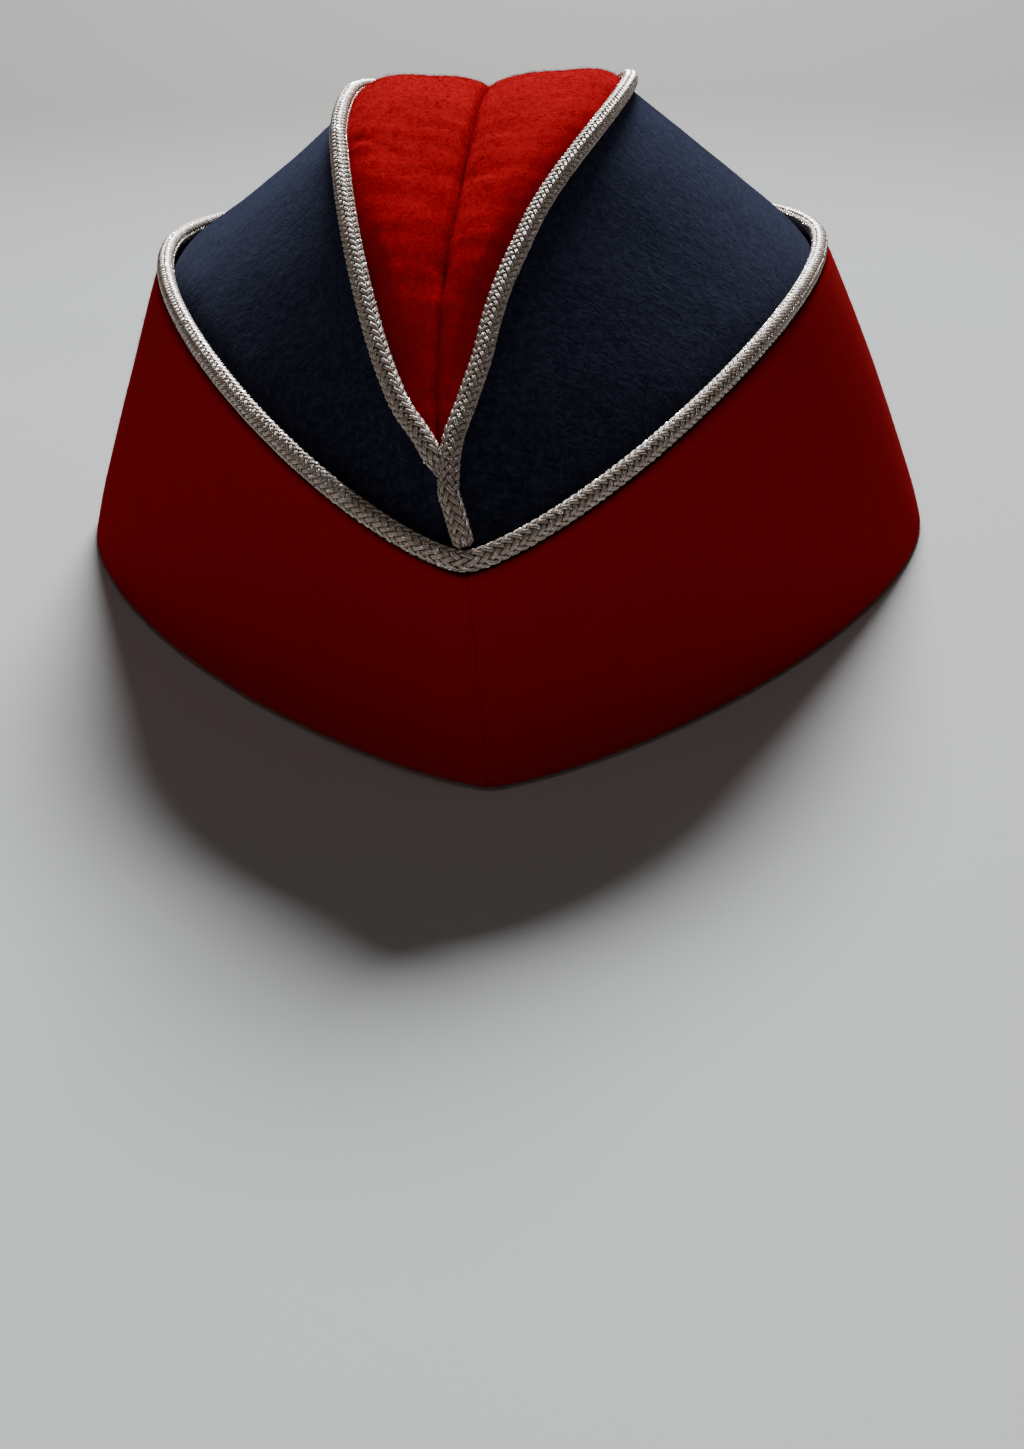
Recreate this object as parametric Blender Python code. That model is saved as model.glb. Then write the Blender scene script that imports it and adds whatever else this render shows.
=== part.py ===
"""A wool side cap with silver piping, resting on its rim.

Metres, +Z up, +Y towards the wearer's front and +X towards the wearer's right. The origin is at
the middle of the rim's length and width, on the surface that the cap rests on.

The cap is made as it is sewn. Two navy side panels run from the rim up to the crown. Two scarlet
crown halves close the top and meet in a centre seam. A scarlet flap in two halves is folded up
round the rim, with a narrow turn-in inside. Silver cords cover the crown seams and the flap's
edge, and the right crown cord goes on down the back and front seams.

Every curve is a function of one share: -1 at the back seam, 0 half way, 1 at the front seam.
"""

import math

import bmesh
import bpy
import numpy as np

# The rim, measured over the flap where the cap rests
RIM_LENGTH = 0.2490
RIM_WIDTH = 0.1764
RIM_FULLNESS = 1.567
RIM_ROUNDNESS = 0.765

# The line on the side panels that the flap's cord covers, and how far inside the rim it ends
FLAP_LINE_INSET = 0.0055
FLAP_LINE_WIDTH = 0.1270
FLAP_LINE_FULLNESS = 1.69
FLAP_LINE_ROUNDNESS = 0.732
FLAP_LINE_FORWARD = 0.0050
FLAP_END_HEIGHT = 0.0345
FLAP_SIDE_HEIGHT = 0.0558
FLAP_ARCH = 2.2

# The seams between the side panels and the crown, and how far inside the rim they end
CROWN_INSET = 0.0120
CROWN_WIDTH = 0.0540
CROWN_END_HEIGHT = 0.0430
CROWN_TOP_HEIGHT = 0.0853
CROWN_LEFT_DROP = 0.0011
CROWN_ARCH = 1.95

# The crown's soft shape
PUFF_HEIGHT = 0.0027
PUFF_FULLNESS = 2.8
GROOVE_DEPTH = 0.0019
CROWN_END_HALF_WIDTH = 0.0011
DENT_DEPTH = 0.0020
DENT_SHARE = -0.74
DENT_SPREAD = 0.10

# Cloth, cord and the space between pieces
SIDE_CLOTH = 0.0016
FLAP_CLOTH = 0.0018
TURN_IN_CLOTH = 0.0016
TURN_IN_HEIGHT = 0.0090
CROWN_CLOTH = 0.0020
CORD = 0.0033
CORD_TIP = 0.0012
GAP = 0.0003

# The seams: how far from a crown seam the cloth starts to dip, how deep it dips
SEAM_RUN = 0.0015
SEAM_DIP = 0.0008
SEAM_TILT = math.radians(68.0)

# The side panels: how softly they bend at the flap line, how far they bow out below it with the
# flap, and how far they puff out above it, as shares of their height there. The left one
# hollows in above the line.
BEND_SOFTNESS = 0.05
FLAP_BOW_LEFT = 0.008
FLAP_BOW_RIGHT = 0.018
SIDE_PUFF_LEFT = -0.022
SIDE_PUFF_RIGHT = 0.003

# How far the flap line leans to the wearer's left at the back
FLAP_LEAN = 0.0025

# The cord down each end seam: its top, as a height on the side panels, and its points
STEM_TOP = 1.85
STEM_POINTS = 5

# How finely the walls are cut. The rows of a side panel are heights, 0 at the rim and 1 at the
# flap line, and those of the flap and its turn-in are shares of their own height.
STATIONS = 32
SIDE_ROWS = (0.0, 0.3, 0.6, 0.8, 0.92, 1.04, 1.16, 1.3, 1.5, 1.75)
FLAP_ROWS = (1.0, 0.85, 0.7, 0.5, 0.3, 0.1)
TURN_IN_ROWS = (0.5, 1.0)
CROWN_ROW_COUNT = 7
SHARP_ANGLE = math.radians(50.0)

# The longest that a seam's dip may be, as a share of the side panel above the flap line and of
# half the crown
SIDE_DIP_LIMIT = 0.15
CROWN_DIP_LIMIT = 0.35

# How finely cords are cut, and the shares where the crown cords get closer points and end
CORD_RESOLUTION = 2
CORD_CLOSE = 0.88
CORD_END = 0.985

# How slopes are measured and clear places are searched for, in heights on the side panels
SLOPE_STEP = 0.01
SEARCH_STEPS = 18
FLAP_SEARCH = 0.3
STEM_SEARCH = 0.9

# The crown seams and the centre seam, seen from above, a row for each section. The first column
# is the share along the cap. The others are places across it as shares of half the crown's width,
# + to the right. The rear leans to the left, as the soft crown of the real cap does.
CROWN_COLUMNS = ("along", "left", "right", "centre")
CROWN_ROWS = (
    (-1.00, -0.21, -0.20, -0.21),
    (-0.95, -0.32, -0.18, -0.25),
    (-0.90, -0.45, -0.12, -0.27),
    (-0.83, -0.57, -0.04, -0.27),
    (-0.74, -0.68, 0.03, -0.27),
    (-0.65, -0.77, 0.14, -0.26),
    (-0.54, -0.86, 0.28, -0.22),
    (-0.40, -0.95, 0.50, -0.19),
    (-0.28, -1.01, 0.67, -0.16),
    (-0.15, -1.03, 0.81, -0.14),
    (0.00, -1.02, 0.90, -0.12),
    (0.15, -0.95, 0.91, -0.08),
    (0.40, -0.77, 0.80, -0.02),
    (0.70, -0.44, 0.45, 0.00),
    (0.90, -0.14, 0.14, 0.00),
    (1.00, 0.00, 0.00, 0.00),
)

SCARLET = (0.42, 0.008, 0.010, 1.0)
NAVY = (0.018, 0.024, 0.050, 1.0)
SILVER = (0.62, 0.61, 0.59, 1.0)
WOOL_ROUGHNESS = 0.95
CORD_ROUGHNESS = 0.45
CORD_METALLIC = 0.6

FLAP_LINE_LENGTH = RIM_LENGTH - 2 * FLAP_LINE_INSET
CROWN_LENGTH = RIM_LENGTH - 2 * CROWN_INSET
CORD_RADIUS = CORD / 2
CORD_SEAT = CORD_RADIUS + GAP
UP = np.array((0.0, 0.0, 1.0))
CROWN_TABLE = np.array(CROWN_ROWS).T
CROWN_SLOPES = [np.gradient(column, CROWN_TABLE[0]) for column in CROWN_TABLE]


def lens(share, fullness, roundness):
    """Half width of a pointed oval as a share of its widest, from the share along it."""
    return max(0.0, 1.0 - abs(share) ** fullness) ** roundness


def across(column, share):
    """Read a column of the crown's table with a smooth curve through its rows."""
    rows = CROWN_TABLE[0]
    values = CROWN_TABLE[CROWN_COLUMNS.index(column)]
    slopes = CROWN_SLOPES[CROWN_COLUMNS.index(column)]
    index = min(max(int(rows.searchsorted(share)) - 1, 0), len(rows) - 2)
    span = rows[index + 1] - rows[index]
    step = (share - rows[index]) / span
    rest = 1.0 - step
    return (
        values[index] * rest * rest * (1 + 2 * step)
        + slopes[index] * span * step * rest * rest
        + values[index + 1] * step * step * (3 - 2 * step)
        - slopes[index + 1] * span * step * step * rest
    )


def lean(share):
    """The flap line's shift across the cap: whole at the back, none at the front."""
    return -FLAP_LEAN * math.cos((share + 1.0) * math.pi / 4)


def foot(share, side):
    """Lower edge of a side panel, standing in the flap's fold."""
    inset = FLAP_CLOTH + GAP
    x = side * (RIM_WIDTH / 2 - inset) * lens(share, RIM_FULLNESS, RIM_ROUNDNESS)
    y = (RIM_LENGTH / 2 - inset) * share
    return np.array((x + side * GAP / 2, y, FLAP_CLOTH + GAP))


def flap_line(share, side):
    """The line on a side panel under the flap's cord."""
    x = side * FLAP_LINE_WIDTH / 2 * lens(share, FLAP_LINE_FULLNESS, FLAP_LINE_ROUNDNESS)
    y = FLAP_LINE_LENGTH / 2 * share + FLAP_LINE_FORWARD * (1.0 - share * share)
    rise = FLAP_SIDE_HEIGHT - FLAP_END_HEIGHT
    z = FLAP_END_HEIGHT + rise * lens(share, FLAP_ARCH, 1.0)
    return np.array((x + lean(share) + side * GAP / 2, y, z))


def crown_seam(share, side):
    """Upper edge of a side panel, where the crown is sewn on."""
    column = "right" if side > 0 else "left"
    x = CROWN_WIDTH / 2 * across(column, share)
    rise = CROWN_TOP_HEIGHT - CROWN_END_HEIGHT
    if side < 0:
        rise -= CROWN_LEFT_DROP
    z = CROWN_END_HEIGHT + rise * lens(share, CROWN_ARCH, 1.0)
    return np.array((x + side * GAP / 2, CROWN_LENGTH / 2 * share, z))


def bend(height):
    """Share of the way from the flap line to the crown seam, rounded where the panel bends."""
    start = (math.sqrt(1.0 + BEND_SOFTNESS**2) - 1.0) / 2
    turn = height - 1.0
    return (math.sqrt(turn * turn + BEND_SOFTNESS**2) + turn) / 2 - start


def side_surface(share, side, height):
    """Outer face of a side panel: height 0 at the rim, 1 at the flap line, 2 at the crown."""
    low = foot(share, side)
    middle = flap_line(share, side)
    top = crown_seam(share, side)
    cut = bend(1.0)
    corner = (middle - cut * (low + top)) / (1.0 - 2 * cut)
    upper = bend(height)
    face = low + (corner - low) * (height - upper) + (top - corner) * upper
    if height > 1.0:
        puff = SIDE_PUFF_RIGHT if side > 0 else SIDE_PUFF_LEFT
        swell = puff * np.linalg.norm(top - middle) * math.sin(math.pi * (height - 1.0))
        return face + swell * seam_direction(share, side)
    bow = FLAP_BOW_RIGHT if side > 0 else FLAP_BOW_LEFT
    swell = bow * np.linalg.norm(middle - low) * math.sin(math.pi * height)
    return face + swell * (1.0 - share * share) * outward(share, side)


def outward(share, side):
    """Level direction out of the cap that lies in the seam at the back and the front."""
    direction = np.array((side * lens(share, RIM_FULLNESS, RIM_ROUNDNESS), share, 0.0))
    return direction / np.linalg.norm(direction)


def side_offset(share, side, height):
    """Step out of a side panel that makes one metre of thickness, level at the rim."""
    before = max(share - SLOPE_STEP, -1.0)
    after = min(share + SLOPE_STEP, 1.0)
    along = side_surface(after, side, height) - side_surface(before, side, height)
    below = max(height - SLOPE_STEP, 0.0)
    above = min(height + SLOPE_STEP, 2.0)
    up = side_surface(share, side, above) - side_surface(share, side, below)
    normal = np.cross(along, up) * side
    normal /= np.linalg.norm(normal)
    level = outward(share, side)
    aim = level * normal.dot(level) + UP * normal[2] * min(height, 1.0)
    return aim / aim.dot(normal)


def seam_direction(share, side):
    """Direction out of a crown seam, between the side's face and the crown's."""
    return outward(share, side) * math.cos(SEAM_TILT) + UP * math.sin(SEAM_TILT)


def crown_half(share):
    """Half of the crown's width at a station."""
    return CROWN_WIDTH / 4 * (across("right", share) - across("left", share))


def crown_surface(share, side, reach):
    """Outer face of a crown half: reach 0 at the crown seam, 1 at the centre seam."""
    edge = crown_seam(share, side)
    scale = min(1.0, 2 * crown_half(share) / CROWN_WIDTH)
    rise = (PUFF_HEIGHT - GROOVE_DEPTH) * scale
    level = (edge[2] + crown_seam(share, -side)[2]) / 2
    centre = np.array((CROWN_WIDTH / 2 * across("centre", share), edge[1], level + rise))
    edge[0] -= side * GAP
    centre[0] += side * GAP / 2
    swell = PUFF_HEIGHT * scale * (1.0 - abs(2 * reach - 1.0) ** PUFF_FULLNESS)
    dent = DENT_DEPTH * math.exp(-(((share - DENT_SHARE) / DENT_SPREAD) ** 2)) * reach**3
    return edge + (centre - edge) * reach + UP * (swell - dent)


def shares():
    """Stations from the back seam to the front seam, closer together near the seams."""
    return [-math.cos(math.pi * index / STATIONS) for index in range(STATIONS + 1)]


def crown_shares():
    """Stations of the crown halves, which end where the two crown cords meet."""
    return [share for share in shares() if crown_half(share) > CROWN_END_HALF_WIDTH]


def make_material(name, colour, roughness, metallic):
    material = bpy.data.materials.new(name)
    material.use_nodes = True
    shader = material.node_tree.nodes["Principled BSDF"]
    shader.inputs["Base Color"].default_value = colour
    shader.inputs["Roughness"].default_value = roughness
    shader.inputs["Metallic"].default_value = metallic
    material.diffuse_color = colour
    return material


def make_wall(name, stations, material):
    """Extrude a strip of cloth, cut across at its first station, through all its stations.

    Each station is a pair of rows of points, the outer face and the inner face.
    """
    mesh = bmesh.new()
    slot = mesh.verts.layers.int.new("slot")
    count = len(stations[0][0])
    first = [point for row in stations[0] for point in row]
    corners = []
    for index, point in enumerate(first):
        corner = mesh.verts.new(point)
        corner[slot] = index
        corners.append(corner)
    for index in range(count - 1):
        near = (corners[index], corners[index + 1])
        far = (corners[count + index + 1], corners[count + index])
        mesh.faces.new(near + far)
    front = list(mesh.faces)
    for number, station in enumerate(stations[1:]):
        points = [point for row in station for point in row]
        grown = bmesh.ops.extrude_face_region(mesh, geom=front)["geom"]
        for item in grown:
            if isinstance(item, bmesh.types.BMVert):
                item.co = points[item[slot]]
        if number > 0:
            bmesh.ops.delete(mesh, geom=front, context="FACES")
        front = [item for item in grown if isinstance(item, bmesh.types.BMFace)]
    bmesh.ops.recalc_face_normals(mesh, faces=mesh.faces)
    data = bpy.data.meshes.new(name)
    mesh.to_mesh(data)
    mesh.free()
    data.shade_smooth()
    data.set_sharp_from_angle(angle=SHARP_ANGLE)
    data.materials.append(material)
    wall = bpy.data.objects.new(name, data)
    bpy.context.scene.collection.objects.link(wall)
    return wall


def make_cord(name, route, material, closed=False, radii=None):
    """Lay a round cord along a list of points."""
    curve = bpy.data.curves.new(name, "CURVE")
    curve.dimensions = "3D"
    curve.bevel_depth = CORD_RADIUS
    curve.bevel_resolution = CORD_RESOLUTION
    curve.use_fill_caps = not closed
    spline = curve.splines.new("POLY")
    spline.points.add(len(route) - 1)
    for index, place in enumerate(route):
        spline.points[index].co = (*place, 1.0)
        if radii:
            spline.points[index].radius = radii[index]
    spline.use_cyclic_u = closed
    spline.use_smooth = True
    curve.materials.append(material)
    cord = bpy.data.objects.new(name, curve)
    bpy.context.scene.collection.objects.link(cord)
    return cord


def distance_to_row(place, row):
    """Distance from a place to a row of points joined by straight lines."""
    nearest = math.inf
    for start, end in zip(row, row[1:]):
        run = end - start
        step = np.clip((place - start).dot(run) / run.dot(run), 0.0, 1.0)
        nearest = min(nearest, np.linalg.norm(place - start - run * step))
    return nearest


def lowest_clear(clearance, wanted, limit):
    """Smallest step from 0 to limit at which a clearance is as wide as wanted."""
    low = 0.0
    high = limit
    for _ in range(SEARCH_STEPS):
        middle = (low + high) / 2
        if clearance(middle) < wanted:
            low = middle
        else:
            high = middle
    return high


def side_station(share, side):
    """Outer and inner rows of a side panel at one station."""
    top = crown_seam(share, side)
    upper = np.linalg.norm(top - flap_line(share, side))
    heights = SIDE_ROWS + (2.0 - min(SEAM_RUN / upper, SIDE_DIP_LIMIT),)
    outer = [side_surface(share, side, height) for height in heights]
    inner = [
        point - side_offset(share, side, height) * SIDE_CLOTH
        for point, height in zip(outer, heights)
    ]
    down = seam_direction(share, side)
    outer.append(top - down * SEAM_DIP)
    inner.append(top - down * (SIDE_CLOTH + GAP))
    return outer, inner


def make_side(side, material):
    name = "side_right" if side > 0 else "side_left"
    stations = [side_station(share, side) for share in shares()]
    return make_wall(name, stations, material)


def flap_cord_place(share, side):
    """Centre of the flap's cord beside a side panel."""
    return side_surface(share, side, 1.0) + side_offset(share, side, 1.0) * CORD_SEAT


def flap_edge(share, side, height, rise):
    """Outer and inner points of a flap; rise is the share of its height, where it stands off."""
    face = side_surface(share, side, height)
    off = side_offset(share, side, height)
    stand_off = CORD_SEAT - FLAP_CLOTH / 2 - GAP
    away = GAP + stand_off * rise**2
    return face + off * (away + FLAP_CLOTH), face + off * away


def flap_top(share, side):
    """Height on the side panel where the flap's edge meets the underside of its cord."""
    cord = flap_cord_place(share, side)

    def clearance(drop):
        return distance_to_row(cord, flap_edge(share, side, 1.0 - drop, 1.0))

    return 1.0 - lowest_clear(clearance, CORD_SEAT, FLAP_SEARCH)


def flap_station(share, side):
    """Outer and inner rows of a flap half: down the outside, under the rim and up inside."""
    low = side_surface(share, side, 0.0)
    length = np.linalg.norm(flap_line(share, side) - low)
    top = flap_top(share, side)
    lowest = side_offset(share, side, 0.0)
    ground = low * np.array((1.0, 1.0, 0.0))
    outer = []
    inner = []
    for step in FLAP_ROWS:
        outside, inside = flap_edge(share, side, top * step, step)
        outer.append(outside)
        inner.append(inside)
    half = FLAP_CLOTH / 2
    outer.append(ground + lowest * (GAP + FLAP_CLOTH) + UP * half)
    outer.append(ground + lowest * (GAP + half))
    inner.append(ground + lowest * GAP + UP * (FLAP_CLOTH + GAP))
    inner.append(ground + lowest * GAP + UP * FLAP_CLOTH)
    inside = SIDE_CLOTH + GAP
    outer.append(ground - lowest * (inside + half))
    outer.append(ground - lowest * (inside + TURN_IN_CLOTH) + UP * half)
    inner.append(ground - lowest * inside + UP * FLAP_CLOTH)
    inner.append(ground - lowest * inside + UP * (FLAP_CLOTH + GAP))
    for step in TURN_IN_ROWS:
        height = step * TURN_IN_HEIGHT / length
        face = side_surface(share, side, height)
        off = side_offset(share, side, height)
        outer.append(face - off * (inside + TURN_IN_CLOTH))
        inner.append(face - off * inside)
    return outer, inner


def make_flap(side, material):
    name = "flap_right" if side > 0 else "flap_left"
    stations = [flap_station(share, side) for share in shares()]
    return make_wall(name, stations, material)


def crown_station(share, side):
    """Outer and inner rows of a crown half at one station, from crown seam to centre seam."""
    half = crown_half(share)
    run = min(SEAM_RUN / half, CROWN_DIP_LIMIT)
    edge = crown_surface(share, side, 0.0)
    down = seam_direction(share, side)
    outer = [edge - down * SEAM_DIP]
    inner = [edge - down * (CROWN_CLOTH + GAP)]
    for reach in np.linspace(run, 1.0 - run, CROWN_ROW_COUNT):
        point = crown_surface(share, side, reach)
        outer.append(point)
        inner.append(point - UP * CROWN_CLOTH)
    centre = crown_surface(share, side, 1.0)
    outer.append(centre - UP * SEAM_DIP)
    inner.append(centre - UP * (CROWN_CLOTH + SEAM_DIP))
    return outer, inner


def make_crown(side, material):
    name = "crown_right" if side > 0 else "crown_left"
    stations = [crown_station(share, side) for share in crown_shares()]
    return make_wall(name, stations, material)


def seam_cord_place(share, side):
    """Centre of a crown cord, as low over its seam as the cloth on both sides lets it sit."""
    base = crown_seam(share, side)
    out = seam_direction(share, side)
    rows = (side_station(share, side)[0], crown_station(share, side)[0])

    def clearance(rise):
        return min(distance_to_row(base + out * rise, row) for row in rows)

    return base + out * lowest_clear(clearance, CORD_SEAT, CORD)


def end_cord_place(end, height):
    """Centre of a cord on the back seam (end -1) or the front seam (end 1)."""
    left = side_surface(end, -1, height)
    right = side_surface(end, 1, height)
    return (left + right) / 2 + side_offset(end, 1, height) * CORD_SEAT


def stem(end):
    """Points of the cord down an end seam, from the crown to just above the flap's cord."""
    flap_cord = end_cord_place(end, 1.0)

    def clearance(rise):
        return np.linalg.norm(end_cord_place(end, 1.0 + rise) - flap_cord)

    lowest = 1.0 + lowest_clear(clearance, CORD_SEAT + CORD_RADIUS / 2, STEM_SEARCH)
    heights = np.linspace(STEM_TOP, lowest, STEM_POINTS)
    return [end_cord_place(end, height) for height in heights]


def cord_shares():
    """Stations of the crown cords, twice as close where they come together."""
    fine = [-math.cos(math.pi * index / STATIONS / 2) for index in range(2 * STATIONS + 1)]
    ends = [share for share in fine if CORD_CLOSE < abs(share) < CORD_END]
    middle = [share for share in shares() if abs(share) <= CORD_CLOSE]
    return sorted(ends + middle)


def make_crown_cords(material):
    """Lay the two crown cords; the left one is tucked in beside the right one at both ends."""
    stations = cord_shares()
    right = [seam_cord_place(share, 1) for share in stations]
    route = list(reversed(stem(-1))) + right + stem(1)
    make_cord("crown_piping_right", route, material)

    left = []
    radii = []
    for share in stations:
        place = seam_cord_place(share, -1)
        room = distance_to_row(place, route) - CORD_RADIUS - GAP
        if room > CORD_TIP / 2:
            left.append(place)
            radii.append(min(1.0, room / CORD_RADIUS))
    make_cord("crown_piping_left", left, material, radii=radii)


def make_flap_cord(material):
    """Lay the cord round the flap's top edge as one closed loop."""
    inner = shares()[1:-1]
    left = [flap_cord_place(share, -1) for share in inner]
    right = [flap_cord_place(share, 1) for share in reversed(inner)]
    route = [end_cord_place(-1, 1.0)] + left + [end_cord_place(1, 1.0)] + right
    make_cord("flap_piping", route, material, closed=True)


def main():
    for item in list(bpy.data.objects):
        bpy.data.objects.remove(item)
    scarlet = make_material("scarlet wool", SCARLET, WOOL_ROUGHNESS, 0.0)
    navy = make_material("navy wool", NAVY, WOOL_ROUGHNESS, 0.0)
    silver = make_material("silver cord", SILVER, CORD_ROUGHNESS, CORD_METALLIC)
    for side in (-1, 1):
        make_side(side, navy)
        make_flap(side, scarlet)
        make_crown(side, scarlet)
    make_crown_cords(silver)
    make_flap_cord(silver)


main()
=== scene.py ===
# %% [markdown]
# A wool side cap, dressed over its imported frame.
#
# The frame holds the cap's plain solids, in metres, with +Z up and the wearer's front along +Y. This lesson
# copies each solid, softens it into sewn cloth or braided cord, and gives it the finish of the real thing.
# The solids themselves are never changed, so every piece stays exactly where the cap was designed to have
# it.

# %% Load the frame
import math
import bmesh
import bpy
import numpy
from mathutils import Matrix, Vector, noise
from mathutils.bvhtree import BVHTree


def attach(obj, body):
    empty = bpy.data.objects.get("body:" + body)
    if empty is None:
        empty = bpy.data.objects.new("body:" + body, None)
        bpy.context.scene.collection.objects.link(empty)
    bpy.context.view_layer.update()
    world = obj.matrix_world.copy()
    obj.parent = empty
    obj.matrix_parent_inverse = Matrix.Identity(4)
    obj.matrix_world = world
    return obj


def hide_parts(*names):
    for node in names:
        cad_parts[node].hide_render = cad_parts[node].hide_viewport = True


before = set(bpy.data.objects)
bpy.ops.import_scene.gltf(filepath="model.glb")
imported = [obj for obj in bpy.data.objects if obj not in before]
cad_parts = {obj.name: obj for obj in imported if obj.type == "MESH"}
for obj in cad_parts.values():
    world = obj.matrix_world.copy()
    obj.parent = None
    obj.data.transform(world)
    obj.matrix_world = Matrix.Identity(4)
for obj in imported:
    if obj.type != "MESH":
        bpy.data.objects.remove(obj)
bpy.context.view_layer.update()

print("solids:", sorted(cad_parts))

# %% [markdown]
# The camera stands where the photo was taken from: behind the cap, a little above it, looking down by 27
# degrees. A lens could be guessed and moved by eye, but the cap's edges fix it, so its place and turn are
# typed in. The turn is built from three plain angles, because a matrix of nine numbers tells a reader
# nothing.

# %% Camera
MM = 0.001
CM = 0.01
FILM = 36.0
PHOTO_HEIGHT = 1449
FOCAL_PIXELS = 1610
CAMERA_PLACE = Vector((0.942, -33.239, 11.709)) * CM
CAMERA_DOWN = math.radians(27.0)
CAMERA_TURN = math.radians(1.589)
CAMERA_ROLL = math.radians(-0.969)


def camera_axes(down, turn, roll):
    """The camera's right, up and backward directions for three angles."""
    forward = Vector((-math.sin(turn) * math.cos(down), math.cos(turn) * math.cos(down), -math.sin(down)))
    level = Vector((math.cos(turn), math.sin(turn), 0))
    upright = level.cross(forward)
    right = level * math.cos(roll) + upright * math.sin(roll)
    up = upright * math.cos(roll) - level * math.sin(roll)
    return right, up, -forward


lens = bpy.data.cameras.new("photo_lens")
lens.sensor_width = FILM
lens.sensor_fit = "AUTO"
lens.lens = FILM * FOCAL_PIXELS / PHOTO_HEIGHT
lens.clip_start = 1 * CM
camera = bpy.data.objects.new("photo_camera", lens)
bpy.context.collection.objects.link(camera)
turned = Matrix(camera_axes(CAMERA_DOWN, CAMERA_TURN, CAMERA_ROLL)).transposed()
camera.matrix_world = Matrix.Translation(CAMERA_PLACE) @ turned.to_4x4()
bpy.context.scene.camera = camera
print("lens:", round(lens.lens, 2), "mm")

# %% [markdown]
# Materials are small networks of nodes. Every node could be made and linked line by line, but the network
# is then hard to follow. So one helper adds a node and fills its inputs, a few more wrap the nodes that are
# used most, and the last two start a material, whose shader is a Principled BSDF, and a node group, which
# is how one effect is shared by several materials with different values.


# %% Helpers for materials
def add_node(tree, kind, inputs=(), **settings):
    """A new node, its settings and inputs filled. An input may be a value or another node's output."""
    node = tree.nodes.new(kind)
    for name, value in settings.items():
        setattr(node, name, value)
    for name, value in dict(inputs).items():
        if isinstance(value, bpy.types.NodeSocket):
            tree.links.new(value, node.inputs[name])
        else:
            node.inputs[name].default_value = value
    return node


def maths(tree, operation, first, second=0.0):
    """The output of one sum on one or two values."""
    return add_node(tree, "ShaderNodeMath", {0: first, 1: second}, operation=operation).outputs[0]


def ramp(tree, value, low, high, to_low=0.0, to_high=1.0, **settings):
    """A value carried over from one range to another, and held inside it."""
    ranges = {"Value": value, "From Min": low, "From Max": high, "To Min": to_low, "To Max": to_high}
    return add_node(tree, "ShaderNodeMapRange", ranges, **settings).outputs["Result"]


def mix(tree, share, first, second, kind="RGBA"):
    """The blend of two colours, or of two directions where the kind is VECTOR."""
    ends = {"Factor": share, "A": first, "B": second}
    return add_node(tree, "ShaderNodeMix", ends, data_type=kind).outputs["Result"]


def cloudy(tree, where, scale, detail=2.0, distortion=0.0):
    """A value between 0 and 1 that changes over the surface in soft clouds."""
    settings = {"Vector": where, "Scale": scale, "Detail": detail, "Distortion": distortion}
    return add_node(tree, "ShaderNodeTexNoise", settings).outputs["Fac"]


def split(tree, vector):
    """The three values of a vector or a colour."""
    return tuple(add_node(tree, "ShaderNodeSeparateXYZ", {"Vector": vector}).outputs)


def new_material(name, **shader_values):
    """A material with a Principled BSDF; words such as Sheen_Weight set its plain sockets."""
    material = bpy.data.materials.new(name)
    material.use_nodes = True
    tree = material.node_tree
    shader = next(n for n in tree.nodes if n.type == "BSDF_PRINCIPLED")
    for word, value in shader_values.items():
        shader.inputs[word.replace("_", " ")].default_value = value
    return material, tree, shader


def new_group(name, inputs, outputs):
    """A node group with float or colour sockets; returns the tree, its input node and its output node."""
    tree = bpy.data.node_groups.new(name, "ShaderNodeTree")
    for way, sockets in (("INPUT", inputs), ("OUTPUT", outputs)):
        for socket, kind in sockets.items():
            tree.interface.new_socket(socket, in_out=way, socket_type="NodeSocket" + kind)
    return tree, tree.nodes.new("NodeGroupInput"), tree.nodes.new("NodeGroupOutput")


# %% [markdown]
# The cap stands on a plain pale floor. A flat plane could be that floor, but its far edge would show, so
# the floor turns up into a low wall far away all round. An outline of floor, soft corner and wall is spun
# into a wide dish. The wall is low, so that the light comes in over it, and far enough away that its shadow
# stays out of the picture.

# %% Floor and wall
FLOOR_RADIUS = 6.0
CORNER_RADIUS = 0.5
FLAT_RADIUS = FLOOR_RADIUS - CORNER_RADIUS
WALL_HEIGHT = 1.6
CORNER_STEPS = 8
ROUND_STEPS = 96


def draw_out(shape, corner, move):
    """Extrudes a lone corner by one move, and returns the new one."""
    new = bmesh.ops.extrude_vert_indiv(shape, verts=[corner])["verts"]
    bmesh.ops.translate(shape, verts=new, vec=move)
    return new[0]


room = bmesh.new()
middle = room.verts.new((0, 0, 0))
flat_end = draw_out(room, middle, (FLAT_RADIUS, 0, 0))
turned_up = bmesh.ops.spin(
    room, geom=[flat_end], cent=(FLAT_RADIUS, 0, CORNER_RADIUS), axis=(0, -1, 0),
    angle=math.pi / 2, steps=CORNER_STEPS)["geom_last"]
top = next(part for part in turned_up if isinstance(part, bmesh.types.BMVert))
draw_out(room, top, (0, 0, WALL_HEIGHT - CORNER_RADIUS))
bmesh.ops.spin(
    room, geom=room.verts[:] + room.edges[:], cent=(0, 0, 0), axis=(0, 0, 1), angle=2 * math.pi,
    steps=ROUND_STEPS, use_merge=True)
bmesh.ops.remove_doubles(room, verts=room.verts, dist=0.1 * MM)
for face in room.faces:
    face.smooth = True
bmesh.ops.recalc_face_normals(room, faces=room.faces)
backdrop_mesh = bpy.data.meshes.new("pale_backdrop")
room.to_mesh(backdrop_mesh)
room.free()
backdrop = bpy.data.objects.new("pale_backdrop", backdrop_mesh)
bpy.context.collection.objects.link(backdrop)
print("backdrop:", len(backdrop_mesh.polygons), "faces")

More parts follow.
